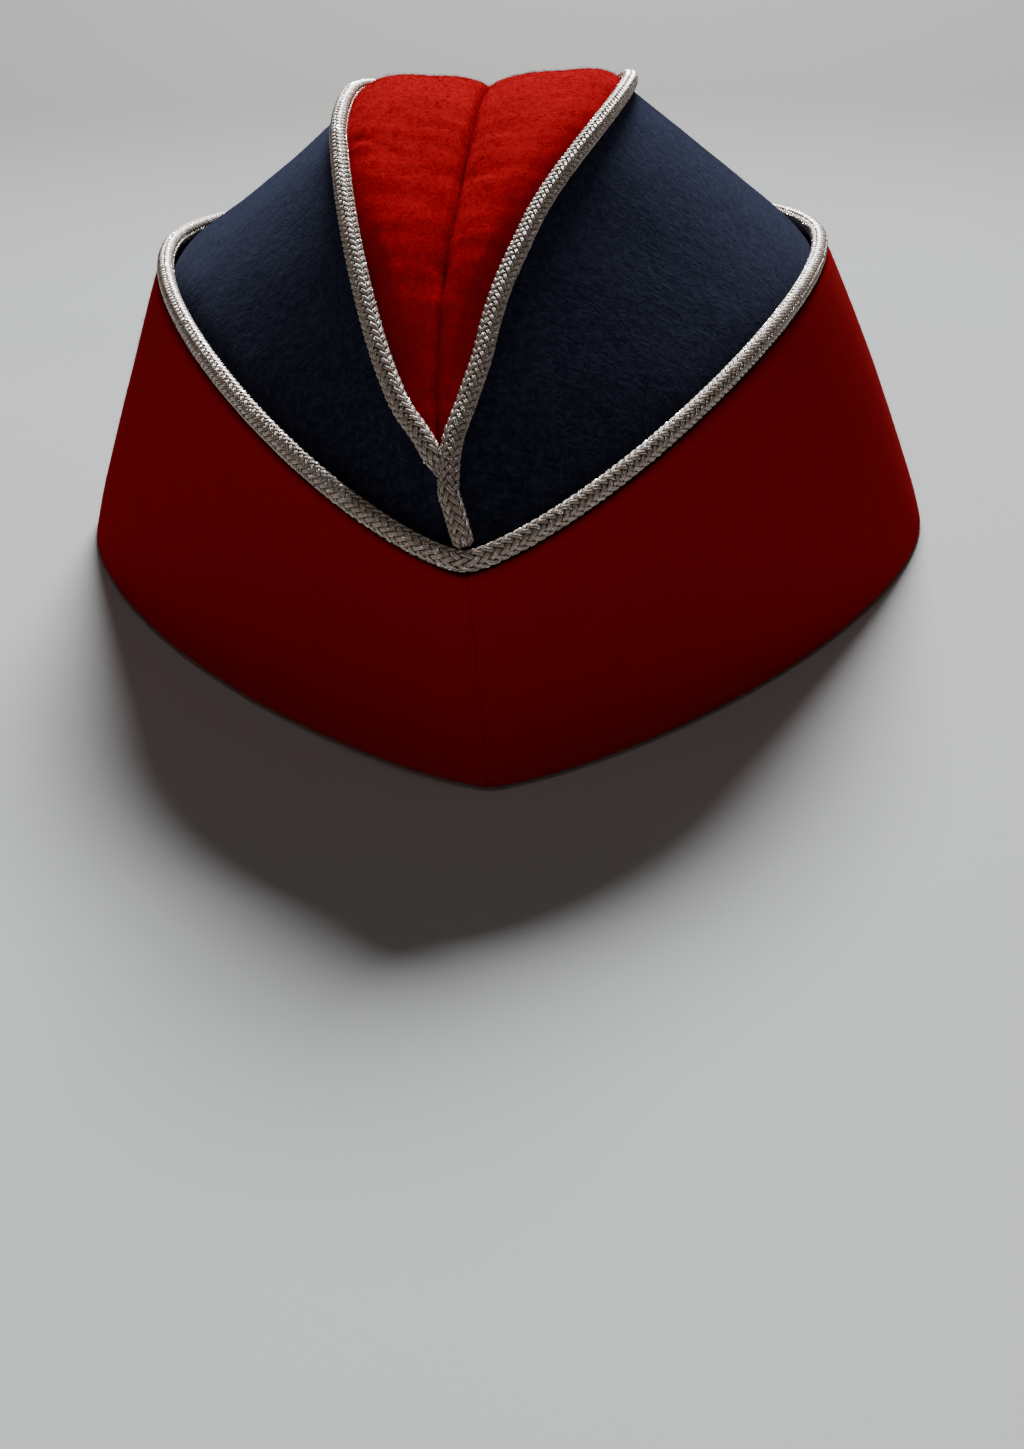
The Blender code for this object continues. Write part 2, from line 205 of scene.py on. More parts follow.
# %% [markdown]
# The floor is covered with pale cloth. One flat colour would look like card, so two near shades are mixed
# by a soft noise. Away from the middle the cloth is painted greyer, a painted falloff of light, so that the
# middle reads as a pool of light on the floor. The greyer cloth also keeps the wall from throwing too much
# light back at the cap.

# %% Pale cloth
PALE_SHADES = ((0.49, 0.493, 0.497, 1), (0.55, 0.553, 0.557, 1))
PAINTED_FALLOFF_GREY = (0.285, 0.262, 0.245, 1)
PAINTED_FALLOFF_FROM_TO = (0.15, 0.9)
MOTTLE_SCALE = 9.0

pale_cloth, tree, shader = new_material("pale_cloth", Roughness=0.9)
where = add_node(tree, "ShaderNodeTexCoord").outputs["Object"]
mottled = mix(tree, cloudy(tree, where, MOTTLE_SCALE, 3.0), *PALE_SHADES)
far_off = add_node(tree, "ShaderNodeVectorMath", {"Vector": where}, operation="LENGTH").outputs["Value"]
# Painted falloff of light: the cloth turns greyer away from the middle, leaving a paler pool there.
painted_falloff_share = ramp(tree, far_off, *PAINTED_FALLOFF_FROM_TO, interpolation_type="SMOOTHSTEP")
tree.links.new(mix(tree, painted_falloff_share, mottled, PAINTED_FALLOFF_GREY), shader.inputs["Base Color"])
backdrop.data.materials.append(pale_cloth)
print("greyer from", PAINTED_FALLOFF_FROM_TO[0], "to", PAINTED_FALLOFF_FROM_TO[1], "m from the middle")

# %% [markdown]
# The photo was lit by a broad bright window beyond the cap, so the crown's top is bright while the flap,
# which stands nearly upright towards the camera, is lit by the floor alone. A lamp panel close by could be
# that window, but its light would fade across the cap. A sun lamp with a wide angle is such a window far
# away: it is soft, yet it lights floor and cap evenly. A small lamp overhead is what the cords glint in,
# and a very dim one low on the left keeps the near side from going flat.

# %% Lights
SKY_COLOUR = (1.0, 0.84, 0.72, 1)
SKY_STRENGTH = 0.035
bpy.context.scene.world = bpy.data.worlds.new("grey_room")
bpy.context.scene.world.use_nodes = True
sky = bpy.context.scene.world.node_tree.nodes["Background"]
sky.inputs["Color"].default_value = SKY_COLOUR
sky.inputs["Strength"].default_value = SKY_STRENGTH


def hang_lamp(name, kind, place, aim, **settings):
    """Hangs a lamp at a place, turned towards a point."""
    light = bpy.data.lights.new(name, kind)
    for word, value in settings.items():
        setattr(light, word, value)
    lamp = bpy.data.objects.new(name, light)
    lamp.location = place
    lamp.rotation_euler = (Vector(aim) - Vector(place)).to_track_quat("-Z", "Y").to_euler()
    bpy.context.collection.objects.link(lamp)
    print(name, kind, light.energy)


hang_lamp(
    "window_beyond", "SUN", place=(0.07, 1.15, 0.76), aim=(0, 0, 0),
    energy=8.2, angle=math.radians(17), color=(0.95, 0.98, 1.0))
hang_lamp("overhead_glow", "AREA", place=(0.05, -0.15, 1.2), aim=(0, 0, 0.05), energy=0.5, size=0.14)
hang_lamp(
    "low_fill", "AREA", place=(-0.45, -0.85, 0.10), aim=(0, -0.05, 0.02),
    energy=0.3, size=0.5, color=(1.0, 0.80, 0.66))

# %% [markdown]
# Both wools are fulled and napped: the weave is hidden under short matted fibres. The eye reads three
# things there: fine fibres lying every way, small clumps a few millimetres across, and broad faint patches
# where the nap was brushed. The hollows between clumps are painted in a darker Shadow colour, a painted
# shade, and the brushed patches take the same darker colour. A picture of cloth would need a map laid out
# for every panel, but noise on Object coordinates needs none. So one node group makes all three, and each
# wool sets its own strengths.

# %% Nap, shared by both wools
STREAKS = (
    ((1.0, 0.22, 0.5), (0.0, 0.0, 0.0)), ((0.25, 1.0, 0.45), (7.3, 5.11, 9.49)),
    ((0.5, 0.4, 0.9), (3.1, 2.17, 4.03)))
STREAK_BEND = 0.6
CLUMP_SCALE = 420.0
PATCH_SCALE = 45.0
FIBRE_EDGE = (0.50, 0.78)
CLUMP_EDGE = (0.62, 0.34)
PATCH_EDGE = (0.65, 0.35)
PATCH_SHARE = 0.6
SMOOTHER_EDGE = (0.4, 0.8)
ROUGHNESS = (1.0, 0.82)
CLUMP_HEIGHT = 0.8

nap, nap_in, nap_out = new_group(
    "matted_nap",
    {"Wool": "Color", "Shadow": "Color", "Fibre": "Color", "Fibre Scale": "Float", "Fibre Show": "Float",
     "Clump Show": "Float"},
    {"Color": "Color", "Roughness": "Float", "Height": "Float"})
where = add_node(nap, "ShaderNodeTexCoord").outputs["Object"]
fibres = 0.0
for stretch, turn in STREAKS:
    placed = add_node(nap, "ShaderNodeMapping", {"Vector": where, "Scale": stretch, "Rotation": turn})
    streak = cloudy(nap, placed.outputs[0], nap_in.outputs["Fibre Scale"], 3.0, STREAK_BEND)
    fibres = maths(nap, "MAXIMUM", fibres, streak)
clumps = cloudy(nap, where, CLUMP_SCALE, 4.0)
patches = cloudy(nap, where, PATCH_SCALE)
# Painted shade: the hollows between clumps, and also the brushed patches, are mixed towards the Shadow
# colour.
between_clumps = ramp(nap, clumps, *CLUMP_EDGE)
brushed = ramp(nap, patches, *PATCH_EDGE, 0.0, PATCH_SHARE)
hollow_shade_and_patches = maths(nap, "MAXIMUM", between_clumps, brushed)
painted_shade_share = maths(nap, "MULTIPLY", hollow_shade_and_patches, nap_in.outputs["Clump Show"])
fibre_share = maths(nap, "MULTIPLY", ramp(nap, fibres, *FIBRE_EDGE), nap_in.outputs["Fibre Show"])
shaded = mix(nap, painted_shade_share, nap_in.outputs["Wool"], nap_in.outputs["Shadow"])
relief = maths(nap, "ADD", fibres, maths(nap, "MULTIPLY", clumps, CLUMP_HEIGHT))
nap.links.new(mix(nap, fibre_share, shaded, nap_in.outputs["Fibre"]), nap_out.inputs["Color"])
nap.links.new(ramp(nap, fibres, *SMOOTHER_EDGE, *ROUGHNESS), nap_out.inputs["Roughness"])
nap.links.new(relief, nap_out.inputs["Height"])
print("nap:", len(nap.nodes), "nodes")

# %% [markdown]
# The crown and the flap are the same scarlet wool, but the flap's copy is painted darker: a painted shade
# for the flap, which stands upright away from the light, while the crown keeps the brighter copy for its
# open, lit top. The navy is nearly black with paler fibres on it. A little gloss is usual on most things,
# but it would turn wool into plastic. So the shine is off, and sheen lightens the cloth where it turns away.

# %% The three wools
NAP_DEPTH = 0.4 * MM


def wool(name, colour, shadow, fibre, fibre_scale, fibre_show, clump_show, bump, sheen, sheen_tint):
    """A napped wool material from the shared group."""
    material, tree, shader = new_material(
        name, Specular_IOR_Level=0.0, Sheen_Weight=sheen, Sheen_Roughness=0.5, Sheen_Tint=(*sheen_tint, 1))
    effect = add_node(tree, "ShaderNodeGroup", {
        "Wool": (*colour, 1), "Shadow": (*shadow, 1), "Fibre": (*fibre, 1), "Fibre Scale": fibre_scale,
        "Fibre Show": fibre_show, "Clump Show": clump_show}, node_tree=nap)
    relief = add_node(tree, "ShaderNodeBump", {
        "Height": effect.outputs["Height"], "Strength": bump, "Distance": NAP_DEPTH})
    tree.links.new(effect.outputs["Color"], shader.inputs["Base Color"])
    tree.links.new(effect.outputs["Roughness"], shader.inputs["Roughness"])
    tree.links.new(relief.outputs[0], shader.inputs["Normal"])
    print(name, "colour", colour)
    return material


crown_wool = wool(
    "scarlet_crown_wool", colour=(0.46, 0.006, 0.010), shadow=(0.38, 0.004, 0.008),
    fibre=(0.64, 0.020, 0.024), fibre_scale=1500.0, fibre_show=0.32, clump_show=0.40, bump=0.24,
    sheen=0.05, sheen_tint=(1.0, 0.12, 0.16))
# The flap's copy of the scarlet is painted darker than the crown's, a painted shade.
shaded_flap_wool = wool(
    "scarlet_flap_wool_painted_shade", colour=(0.27, 0.004, 0.007), shadow=(0.24, 0.0035, 0.006),
    fibre=(0.32, 0.007, 0.010), fibre_scale=1600.0, fibre_show=0.20, clump_show=0.35, bump=0.15,
    sheen=0.03, sheen_tint=(1.0, 0.16, 0.17))
navy_wool = wool(
    "napped_navy_wool", colour=(0.0135, 0.0158, 0.0335), shadow=(0.007, 0.008, 0.017),
    fibre=(0.048, 0.054, 0.090), fibre_scale=1500.0, fibre_show=0.60, clump_show=0.75, bump=0.45,
    sheen=0.06, sheen_tint=(0.55, 0.62, 1.0))

# %% [markdown]
# The frame's cloth solids are right in place and size, but their faces are flat and their edges are
# knife-sharp. Real cut cloth turns over its edge. A copy is welded, its triangles are joined back to
# four-sided faces, and a Subdivision Surface rounds it. A crease value on the sharp edges says how tightly
# they turn: 1 keeps them sharp, 0 melts them away. A bevel would round them too, but it leaves the faces
# flat. The modifier is applied, because the next steps move single vertices.

# %% Softening a solid into cloth
WELD = 0.01 * MM
SHARP = math.radians(50)


def welded(node):
    """A copy of a CAD node's mesh with its loose triangles joined up."""
    shape = bmesh.new()
    shape.from_mesh(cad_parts[node].data)
    bmesh.ops.remove_doubles(shape, verts=shape.verts, dist=WELD)
    return shape


def softened(node, edge_crease, levels):
    """A smooth mesh made from a CAD node, placed where the node is."""
    shape = welded(node)
    bmesh.ops.join_triangles(
        shape, faces=shape.faces, angle_face_threshold=SHARP, angle_shape_threshold=math.pi)
    crease = shape.edges.layers.float.new("crease_edge")
    for edge in shape.edges:
        if len(edge.link_faces) == 2 and edge.calc_face_angle() > SHARP:
            edge[crease] = edge_crease
    cage = bpy.data.meshes.new(node + "_cage")
    shape.to_mesh(cage)
    shape.free()
    holder = bpy.data.objects.new(node + "_cage", cage)
    bpy.context.collection.objects.link(holder)
    rounding = holder.modifiers.new("rounding", "SUBSURF")
    rounding.levels = levels
    rounding.render_levels = levels
    seen = bpy.context.evaluated_depsgraph_get()
    mesh = bpy.data.meshes.new_from_object(holder.evaluated_get(seen))
    bpy.data.objects.remove(holder)
    bpy.data.meshes.remove(cage)
    mesh.shade_smooth()
    return mesh


def place_piece(name, mesh, material):
    """Makes a mesh a piece of the scene, under a name and with one material, and prints its size."""
    mesh.name = name
    mesh.materials.clear()
    mesh.materials.append(material)
    piece = bpy.data.objects.new(name, mesh)
    bpy.context.collection.objects.link(piece)
    print(name, sum(len(face.vertices) - 2 for face in mesh.polygons), "triangles")
    return piece


CLOTH = {
    "side_left": ("navy_side_left", navy_wool, "navy_wool", 2, 0.75),
    "side_right": ("navy_side_right", navy_wool, "navy_wool", 2, 0.75),
    "crown_left": ("scarlet_crown_left", crown_wool, "scarlet_wool", 3, 0.9),
    "crown_right": ("scarlet_crown_right", crown_wool, "scarlet_wool", 3, 0.9),
    "flap_left": ("scarlet_flap_left", shaded_flap_wool, "scarlet_wool", 2, 0.65),
    "flap_right": ("scarlet_flap_right", shaded_flap_wool, "scarlet_wool", 2, 0.65),
}
cloth = {}
for node, (piece_name, material, _, levels, edge_crease) in CLOTH.items():
    cloth[node] = place_piece(piece_name, softened(node, edge_crease, levels), material)

# %% [markdown]
# Two panels sewn edge to edge leave no light between them. The solids keep a 0.3 mm gap there. Thicker
# cloth would close it, but would show inside the cap, so each vertex close to the neighbouring piece moves
# part of the way to it. The navy panels are drawn together until they nearly touch. The crown's halves and
# the flap's are pressed about 0.2 mm into each other, because a thread of shadow would show on scarlet.
# Each vertex goes only part of the way, so the gap that they aim at is well below zero.

# %% Closing the seams
SEAM_REACH = 1.2 * MM
TOUCHING = 0.03 * MM
SEAM_GAPS = {"crown": -0.38 * MM, "flap": -0.38 * MM, "side": TOUCHING}


def surface_of(piece):
    """A search tree of a piece's faces."""
    mesh = piece.data
    return BVHTree.FromPolygons([v.co for v in mesh.vertices], [p.vertices for p in mesh.polygons])


def close_seam(left, right, gap):
    """Draws the facing edges of two pieces together, to a gap or, where it is negative, a little past."""
    moved = 0
    for piece, other in ((left, surface_of(right)), (right, surface_of(left))):
        for vertex in piece.data.vertices:
            nearest, _, _, distance = other.find_nearest(vertex.co, SEAM_REACH)
            if nearest is None or distance < TOUCHING:
                continue
            weight = 1 - distance / SEAM_REACH
            step = (distance - gap) / 2 * weight
            vertex.co = vertex.co + (nearest - vertex.co).normalized() * step
            moved += 1
    return moved


for part, gap in SEAM_GAPS.items():
    moved = close_seam(cloth[part + "_left"], cloth[part + "_right"], gap)
    print(part, "seam:", moved, "vertices drawn together")

# %% [markdown]
# The crown's cords are sewn down on the navy panels' upper edges. The solids leave a thin slit under them,
# so each panel is drawn up to the cords on it, further where the two cords meet and there is more room. A
# deeper cord would cover the slit as well, but then it would look sunk. Numpy moves all of a mesh's
# vertices at once, which takes far less time than a loop over them.

# %% Drawing the sides up to the cords
CORD_PULL = 0.55 * MM
MEETING_PULL = 0.7 * MM
PULL_REACH = (1 * MM, 6 * MM)
MEETING_FROM = (94 * MM, 103 * MM)
MEETING_TO = (112 * MM, 116 * MM)
CROWN_CORDS = ("crown_piping_left", "crown_piping_right")


def numbers(mesh, what):
    """One row of three numbers for each vertex: its place ("co") or its direction ("normal")."""
    values = numpy.empty(len(mesh.vertices) * 3)
    mesh.vertices.foreach_get(what, values)
    return values.reshape(-1, 3)


def put_back(mesh, places):
    """Moves every vertex of a mesh to its row's place."""
    mesh.vertices.foreach_set("co", places.reshape(-1))
    mesh.update()


def smooth_step(values, low, high):
    """0 below one value, 1 above the other, and smooth between them."""
    share = numpy.clip((values - low) / (high - low), 0, 1)
    return share * share * (3 - 2 * share)


def nearest_on(tree, places, reach):
    """A surface's nearest spot to each place, and how far it is; past the reach, the place itself."""
    found = [tree.find_nearest(place, reach) for place in places]
    spots = numpy.array([place if hit[0] is None else hit[0] for place, hit in zip(places, found)])
    return spots, numpy.array([reach if hit[3] is None else hit[3] for hit in found])


for cord_node in CROWN_CORDS:
    cord_surface = surface_of(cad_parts[cord_node])
    for node in ("side_left", "side_right"):
        places = numbers(cloth[node].data, "co")
        spots, far = nearest_on(cord_surface, places, PULL_REACH[1])
        lengthwise = numpy.abs(places[:, 1])
        meeting = smooth_step(lengthwise, *MEETING_FROM) * (1 - smooth_step(lengthwise, *MEETING_TO))
        pull = (CORD_PULL + MEETING_PULL * meeting) * (1 - smooth_step(far, *PULL_REACH))
        share = numpy.minimum(pull, far) / numpy.maximum(far, TOUCHING)
        put_back(cloth[node].data, places + (spots - places) * share[:, None])
print("sides drawn up to the crown cords by up to", round((CORD_PULL + MEETING_PULL) / MM, 2), "mm")

# %% [markdown]
# Wool on a worn cap is never quite smooth. A slow noise moves every vertex in or out by a few tenths of a
# millimetre at most, which is enough for the light to show that this is cloth over air, and not a shell. A
# Displace modifier could do it too, but each piece would need a vertex group to keep the rim still on the
# floor.

# %% Slow waves in the cloth
WAVE = {"side": 0.22 * MM, "crown": 0.35 * MM, "flap": 0.15 * MM}
WAVE_SCALE = 45.0
RIPPLE_SCALE = WAVE_SCALE * 2.3
RIPPLE_SHARE = 0.5
WRINKLE_SHARE = {"side": 0.2, "crown": 0.5, "flap": 0.0}
WRINKLE_SCALES = numpy.array([70.0, 260.0, 260.0])
STILL_BELOW = (2 * MM, 6 * MM)


def slow_noise(places, scale):
    """A smooth random value between about -1 and 1 at each place."""
    return numpy.array([noise.noise(Vector(place)) for place in places * scale])


for node, piece in cloth.items():
    part = node.split("_")[0]
    places = numbers(piece.data, "co")
    rise = slow_noise(places, WAVE_SCALE) + RIPPLE_SHARE * slow_noise(places, RIPPLE_SCALE)
    rise += WRINKLE_SHARE[part] * slow_noise(places, WRINKLE_SCALES)
    rise *= smooth_step(places[:, 2], *STILL_BELOW) * WAVE[part]
    put_back(piece.data, places + numbers(piece.data, "normal") * rise[:, None])
    print(node, "waves up to", round(numpy.abs(rise).max() / MM, 2), "mm")

# %% [markdown]
# The crown's cloth is folded over inside its seams, which pads it there: each half stands up beside its
# cord and half hides it at the top, so the cloth near a cord is lifted. The crown is fullest a little above
# its two ends, and falls away faster below. Towards the back the centre seam ends in a small dimple and the
# cloth closes over it, so the groove is filled below that place. One shallow crease runs across the left
# half. A sculpted copy could hold all this, but a few named widths and heights can be changed one by one.

# %% Padding, dimple and crease of the crown
SHOULDER_RISE = {"crown_left": 1.6 * MM, "crown_right": 1.4 * MM}
SHOULDER_WIDTH = (1.5 * MM, 13 * MM)
SHOULDER_HEIGHT = (62 * MM, 78 * MM)
FILL_DEPTH = 1.5 * MM
FILL_WIDTH = (0.3 * MM, 4.5 * MM)
FILL_FROM = (71 * MM, 86 * MM)
FULL_RISE = 1.6 * MM
FULL_AT = 80 * MM
FULL_LENGTH = 22 * MM
FULL_WIDTH = (0.3 * MM, 3.5 * MM)
DIMPLE = (Vector((-7.8, -75.5, 64.5)) * MM, Vector((-7.8, -78.5, 62.0)) * MM, 0.2 * MM, 1.8 * MM)
CREASE = (Vector((-23.5, -39.5, 79.6)) * MM, Vector((-17.0, -45.2, 80.0)) * MM, 0.30 * MM, 1.0 * MM)


def other_half(node):
    """The name of the same part on the cap's other side."""
    part, hand = node.split("_")
    return part + ("_right" if hand == "left" else "_left")


def pressed(places, start, end, depth, width):
    """How deep each place sinks for a soft dent that runs from start to end."""
    run = numpy.array(end - start)
    share = numpy.clip((places - numpy.array(start)) @ run / (run @ run), 0, 1)
    away = numpy.linalg.norm(places - numpy.array(start) - share[:, None] * run, axis=1)
    return depth * numpy.exp(-(away / width) ** 2)


def close_to(tree, places, near, far):
    """1 nearer to a surface than one distance, 0 further than the other, and smooth between them."""
    return 1 - smooth_step(nearest_on(tree, places, far)[1], near, far)


half_surfaces = {node: surface_of(cloth[node]) for node in SHOULDER_RISE}
cord_surfaces = {node: surface_of(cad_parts[node]) for node in CROWN_CORDS}
for node, rise in SHOULDER_RISE.items():
    places = numbers(cloth[node].data, "co")
    ups = numbers(cloth[node].data, "normal")
    cord = cord_surfaces[node.replace("crown", "crown_piping")]
    lifted = close_to(cord, places, *SHOULDER_WIDTH) * smooth_step(places[:, 2], *SHOULDER_HEIGHT) * rise
    beside_seam = close_to(half_surfaces[other_half(node)], places, *FILL_WIDTH)
    lifted += beside_seam * smooth_step(-places[:, 1], *FILL_FROM) * FILL_DEPTH
    from_each = [nearest_on(surface, places, FULL_WIDTH[1])[1] for surface in cord_surfaces.values()]
    from_cords = numpy.minimum(*from_each)
    from_fullest = numpy.clip(numpy.abs(numpy.abs(places[:, 1]) - FULL_AT) / FULL_LENGTH, 0, 1)
    lifted += smooth_step(from_cords, *FULL_WIDTH) * (1 + numpy.cos(math.pi * from_fullest)) / 2 * FULL_RISE
    sunk = pressed(places, *DIMPLE) + pressed(places, *CREASE)
    places[:, 2] += lifted
    put_back(cloth[node].data, places - numpy.where(ups[:, 2:] > 0, ups, 0) * sunk[:, None])
    print(node, "lifted by up to", round(lifted.max() / MM, 2), "mm, sunk by", round(sunk.max() / MM, 2))

# %% [markdown]
# Loose fibres stand off the wool and make its outline soft. Each is a thin three-sided spike that bends
# over. An Array modifier makes the copies of one spike, and each copy is then carried to its own spot and
# bent there. Hair particles would be quicker to set up, but they are not meshes, and a mesh is what a
# library keeps. The spots are drawn at random with a fixed seed, more of them at a seam, where cut edges
# fray.

# %% Copies of one fibre, and where they stand
SPIKE_SIDES = 3
SEAM_NAP = 7.0
SEAM_NAP_REACH = 1.4 * MM
OUTWARD_LEAST = 0.35
TINY = 1e-18
SPINE_SHARE = (0, 0.72, 0)
SPINE_HEIGHT = (0, 0, 12 * MM)


def from_spine(places):
    """The way to each place from the nearest part of a low line that runs along inside the cap."""
    return places - (places * SPINE_SHARE + SPINE_HEIGHT)


def unit(rows):
    """Each row of three numbers made one unit long."""
    return rows / numpy.linalg.norm(rows, axis=-1, keepdims=True)


def dot(rows, others):
    """How far each row runs along the matching one, kept as a column."""
    return (rows * others).sum(axis=-1, keepdims=True)


def spike_copies(count):
    """A mesh of many copies of one closed spike, one unit long, all at the origin."""
    shape = bmesh.new()
    bmesh.ops.create_cone(shape, cap_ends=True, segments=SPIKE_SIDES, radius1=1, radius2=0, depth=1)
    bmesh.ops.translate(shape, verts=shape.verts, vec=(0, 0, 0.5))
    long_edges = [e for e in shape.edges if abs(e.verts[0].co.z - e.verts[1].co.z) > 0.5]
    bmesh.ops.subdivide_edges(shape, edges=long_edges, cuts=1)
    one = bpy.data.meshes.new("one_fibre")
    shape.to_mesh(one)
    shape.free()
    holder = bpy.data.objects.new("fibre_copies", one)
    bpy.context.collection.objects.link(holder)
    array = holder.modifiers.new("copies", "ARRAY")
    array.count = count
    array.use_relative_offset = False
    array.use_constant_offset = True
    array.constant_offset_displace = (0, 0, 0)
    many = bpy.data.meshes.new_from_object(holder.evaluated_get(bpy.context.evaluated_depsgraph_get()))
    bpy.data.objects.remove(holder)
    return many, len(one.vertices)


def outer_spots(mesh, count, dice, seam):
    """Random places on a mesh's outer side, more of them at its seam, and which way is out at each."""
    mesh.calc_loop_triangles()
    corners = numpy.empty(len(mesh.loop_triangles) * 3, dtype=numpy.int64)
    mesh.loop_triangles.foreach_get("vertices", corners)
    trio = numbers(mesh, "co")[corners].reshape(-1, 3, 3)
    facing = numbers(mesh, "normal")[corners].reshape(-1, 3, 3)
    middle = trio.mean(axis=1)
    cross = numpy.cross(trio[:, 1] - trio[:, 0], trio[:, 2] - trio[:, 0])
    area = numpy.linalg.norm(cross, axis=1) / 2
    outward = dot(cross / (2 * area[:, None] + TINY), unit(from_spine(middle)))[:, 0] > OUTWARD_LEAST
    at_seam = close_to(seam, middle, 0, SEAM_NAP_REACH)
    chance = area * outward * (1 + SEAM_NAP * at_seam)
    chosen = dice.choice(len(area), count, p=chance / chance.sum())
    share = dice.random((count, 2))
    share[share.sum(axis=1) > 1] = 1 - share[share.sum(axis=1) > 1]
    weights = numpy.stack([1 - share.sum(axis=1), share[:, 0], share[:, 1]], axis=1)[:, :, None]
    return (trio[chosen] * weights).sum(axis=1), unit((facing[chosen] * weights).sum(axis=1))


print("fibres stand closer within", round(SEAM_NAP_REACH / MM, 1), "mm of a seam")

# %% [markdown]
# Each fibre leans its own way, has its own length and thickness, and curls over towards its tip. A straight
# spike would look like a bristle. The crown's nap is brushed nearly flat, and the flap's and the sides'
# stand up a little more.

# %% Growing the nap
LENGTH_SPREAD = 0.35
THICKNESS_SPREAD = (0.7, 1.3)
CURL = (0.1, 0.7)
CURL_DROP = 0.35
CURL_REACH = 0.3
ROOT_DEPTH = 0.05 * MM
FLOOR_CLEAR = 0.02 * MM
FLAT_NAP = (math.radians(55), math.radians(89))
LOOSE_NAP = (math.radians(30), math.radians(88))
FIRST_SEED = 11
FIBRE_SHADE_SCALE = 700.0


def fibre_material(name, dark, pale):
    """Loose fibres: their colour changes a little from one to the next."""
    material, tree, shader = new_material(name, Roughness=0.9, Specular_IOR_Level=0.0)
    where = add_node(tree, "ShaderNodeTexCoord").outputs["Object"]
    colour = mix(tree, cloudy(tree, where, FIBRE_SHADE_SCALE), (*dark, 1), (*pale, 1))
    tree.links.new(colour, shader.inputs["Base Color"])
    return material


def grow_nap(node, name, seed, count, material, length, thickness, lean):
    """Fibres standing off one cloth piece, as a mesh object of their own."""
    dice = numpy.random.default_rng(seed)
    mesh, per_fibre = spike_copies(count)
    spike = numbers(mesh, "co").reshape(count, per_fibre, 3)
    roots, ups = outer_spots(cloth[node].data, count, dice, surface_of(cloth[other_half(node)]))
    wander = dice.normal(size=(count, 3))
    wander = unit(wander - dot(wander, ups) * ups)
    sideways = numpy.cross(ups, wander)
    long = length * dice.lognormal(0.0, LENGTH_SPREAD, count)[:, None]
    thick = thickness * dice.uniform(*THICKNESS_SPREAD, count)[:, None]
    tilt = dice.uniform(*lean, count)[:, None]
    across = ups * numpy.sin(tilt) - wander * numpy.cos(tilt)
    along = spike[:, :, 2]
    curl = dice.uniform(*CURL, count)[:, None] * along ** 2
    rise = long * (along * numpy.cos(tilt) - curl * CURL_DROP)
    reach = long * (along * numpy.sin(tilt) + curl * CURL_REACH)
    points = (roots - ups * ROOT_DEPTH)[:, None, :]
    ring = spike[:, :, :2] * thick[:, :, None]
    for way, amount in ((ups, rise), (wander, reach), (sideways, ring[:, :, 0]), (across, ring[:, :, 1])):
        points = points + way[:, None, :] * amount[:, :, None]
    points[:, :, 2] = numpy.maximum(points[:, :, 2], FLOOR_CLEAR)
    put_back(mesh, points)
    return place_piece(name, mesh, material)


scarlet_fibre = fibre_material("scarlet_fibre", (0.50, 0.010, 0.013), (0.72, 0.030, 0.034))
# The flap's fibres are the crown's scarlet painted darker, a painted shade like the flap's wool.
shaded_flap_fibre = fibre_material("scarlet_flap_fibre_painted_shade", (0.28, 0.004, 0.009), (0.40, 0.008, 0.013))
navy_fibre = fibre_material("navy_fibre", (0.014, 0.017, 0.034), (0.050, 0.058, 0.095))
NAPS = {
    "crown": (15000, scarlet_fibre, 1.2 * MM, 0.023 * MM, FLAT_NAP),
    "flap": (5500, shaded_flap_fibre, 1.1 * MM, 0.024 * MM, LOOSE_NAP),
    "side": (5500, navy_fibre, 0.8 * MM, 0.024 * MM, LOOSE_NAP),
}
nap_pieces = {}
for part, settings in NAPS.items():
    for hand in ("left", "right"):
        node = part + "_" + hand
        seed = FIRST_SEED + len(nap_pieces)
        nap_pieces[node] = grow_nap(node, part + "_nap_" + hand, seed, *settings)

# %% [markdown]
# The piping is a round braid of metallic thread. It has to follow the frame's cord exactly. A path drawn by
# hand along it would drift, so the middle line is found from the plain tube itself, by stepping along it
# from one ring of eight corners to the next.

# %% The middle line of a cord
RING = 8


def neighbours(corner, left_out=()):
    """The corners that a corner's edges lead to, but for those left out."""
    return [v for v in (edge.other_vert(corner) for edge in corner.link_edges) if v not in left_out]


def ring_from(corner, first_edge):
    """The closed ring that an edge belongs to, walking straight on at every corner; None if it isn't one."""
    ring = [corner]
    edge = first_edge
    at = edge.other_vert(corner)
    while at is not corner:
        ring.append(at)
        if len(ring) > RING or len(at.link_edges) != 4:
            return None
        edge = next(e for e in at.link_edges if not set(e.link_faces) & set(edge.link_faces))
        at = edge.other_vert(at)
    return ring if len(ring) == RING else None


def rings_onwards(ring, before):
    """The rings that follow one ring, away from the ring before it, until the tube ends or comes round."""
    found = []
    first = set(ring)
    while True:
        known = set(ring) | set(before)
        step = [neighbours(corner, known) for corner in ring]
        if any(len(onward) != 1 for onward in step):
            return found, False
        before = ring
        ring = [onward[0] for onward in step]
        if set(ring) == first:
            return found, True
        found.append(ring)


